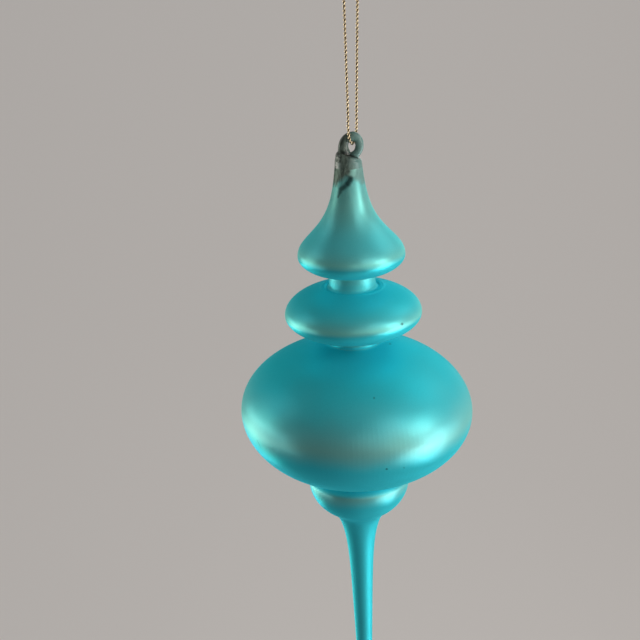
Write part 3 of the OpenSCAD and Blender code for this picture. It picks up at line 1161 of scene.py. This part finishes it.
# Name, azimuth, elevation, distance, size and power of each soft lamp, and its colour if not white
LAMPS = [
    ("key_high", 66, 18, 0.62, 0.26, 0.95, (1, 0.97, 0.9)),
    ("key", 76, -13, 0.62, 0.32, 1.15),
    ("key_low", 82, -38, 0.62, 0.26, 0.65, (0.85, 0.95, 1)),
    ("key_side", 98, -14, 0.62, 0.26, 0.25, (0.7, 0.95, 1)),
    ("key_front_low", 60, -30, 0.62, 0.28, 0.8, (0.95, 1, 1)),
    ("key_front", 44, 2, 0.62, 0.36, 0.35, (1, 1, 0.85)),
    ("window_high", -98, 4, 0.65, 0.32, 0.5, (1, 1, 0.85)),
    ("window", -114, -16, 0.65, 0.36, 1.15, (1, 0.96, 0.88)),
    ("window_low", -132, -34, 0.65, 0.34, 0.95, (1, 0.86, 0.7)),
    ("window_far", -156, -36, 0.70, 0.30, 0.45, (0.2, 0.55, 1)),
    ("window_front", -82, -16, 0.90, 0.55, 1.1, (0.85, 1, 1)),
    ("left_high", -98, 32, 0.80, 0.40, 0.4),
    ("fill_front", 16, 12, 0.90, 0.50, 0.4, (1, 1, 0.95)),
    ("fill_high", 42, 34, 0.80, 0.40, 0.65),
    ("soft_top", 0, 80, 0.95, 0.90, 0.3),
    ("back_right_high", 140, 38, 0.90, 0.60, 0.2),
    ("back_right_top", 112, 46, 0.90, 0.50, 0.8),
    ("back_right", 160, 8, 0.90, 0.45, 0.5),
    ("low_front", 60, -62, 0.90, 0.40, 1.1, (0.5, 0.85, 1)),
    ("low_back", 175, -42, 0.80, 0.35, 0.5, (0.3, 1, 0.9)),
]


class ORNAMENT_OT_stage(bpy.types.Operator):
    """Set the camera, the lamps, the floor and the backdrop"""

    bl_idname = "ornament.stage"
    bl_label = "Stage"

    def execute(self, context):
        given = context.scene.ornament_stage
        optics = bpy.data.cameras.new("camera")
        optics.lens, optics.sensor_width = given.lens, 36
        camera = context.scene.camera = add_to_scene("camera", optics)
        back = direction(given.azimuth, given.elevation)
        camera.location = box_middle("main_bulb") + Vector(AIM) * MM + back * given.distance
        roll = Matrix.Rotation(-given.roll, 3, "Z")
        camera.rotation_euler = (back.to_track_quat("Z", "Y").to_matrix() @ roll).to_euler()
        self.backdrop()
        self.lamps(context)
        context.scene.view_settings.view_transform = "Standard"
        return {"FINISHED"}

    def backdrop(self):
        """A floor that sweeps up into a wall behind the object."""
        front, wall_y, width, wall_height, radius = -3.0, 1.35, 6.0, 2.2, 0.8
        depth = wall_y - radius - front
        middle = (0, front + depth / 2, cad_box[0].z - 0.45)
        deselect_all()
        bpy.ops.mesh.primitive_plane_add(size=1, location=middle)
        sweep = bpy.context.active_object
        sweep.name = sweep.data.name = "floor_and_backdrop"
        edit_active()
        bpy.ops.transform.resize(value=(width, depth, 1), center_override=middle)
        leave_edit()
        points = sweep.data.vertices
        back = max(v.co.y for v in points)
        for v in points:
            v.select = v.co.y == back
        for edge in sweep.data.edges:
            edge.select = all(points[i].select for i in edge.vertices)
        for face in sweep.data.polygons:
            face.select = False
        bpy.ops.object.mode_set(mode="EDIT")
        bpy.ops.mesh.select_mode(type="EDGE")
        steps, reached = 24, Vector((0, 0, 0))
        for i in range(1, steps + 1):
            a = math.radians(90 * i / steps)
            here = Vector((0, radius * math.sin(a), radius * (1 - math.cos(a))))
            bpy.ops.mesh.extrude_edges_move(TRANSFORM_OT_translate={"value": here - reached})
            reached = here
        bpy.ops.mesh.extrude_edges_move(TRANSFORM_OT_translate={"value": (0, 0, wall_height)})
        leave_edit()
        finish_piece(sweep, backdrop_paint(), smooth_angle=40)

    def lamps(self, context):
        world = context.scene.world = bpy.data.worlds.new("studio")
        world.use_nodes = True
        background = world.node_tree.nodes["Background"].inputs
        feed_all(world.node_tree, background, Color=WORLD[:3], Strength=WORLD[3])
        for lamp in LAMPS:
            add_lamp(*lamp)


class ORNAMENT_PT_maker(bpy.types.Panel):
    """Lists the steps in the order in which they are made"""

    bl_label = "Icicle ornament"
    bl_space_type = "VIEW_3D"
    bl_region_type = "UI"
    bl_category = "Ornament"

    def draw(self, context):
        for operator in STEPS:
            self.layout.operator(operator.bl_idname)


STEPS = (
    ORNAMENT_OT_stage, ORNAMENT_OT_knot, ORNAMENT_OT_thread, ORNAMENT_OT_eye, ORNAMENT_OT_bell,
    ORNAMENT_OT_collars, ORNAMENT_OT_sections, ORNAMENT_OT_spike,
)
SETTINGS = {
    "ornament_glass": GlassSettings, "ornament_thread": ThreadSettings, "ornament_stage": StageSettings,
}
CLASSES = (*SETTINGS.values(), *STEPS, ORNAMENT_PT_maker)


def register():
    for cls in CLASSES:
        bpy.utils.register_class(cls)
    for name, settings in SETTINGS.items():
        setattr(bpy.types.Scene, name, bpy.props.PointerProperty(type=settings))


def unregister():
    for name in SETTINGS:
        delattr(bpy.types.Scene, name)
    for cls in reversed(CLASSES):
        bpy.utils.unregister_class(cls)


def main():
    register()
    bpy.ops.ornament.stage()
    bpy.ops.ornament.knot()
    bpy.ops.ornament.thread()
    bpy.ops.ornament.eye()
    bpy.ops.ornament.bell()
    bpy.ops.ornament.collars()
    bpy.ops.ornament.sections()
    bpy.ops.ornament.spike()


if __name__ == "__main__":
    main()
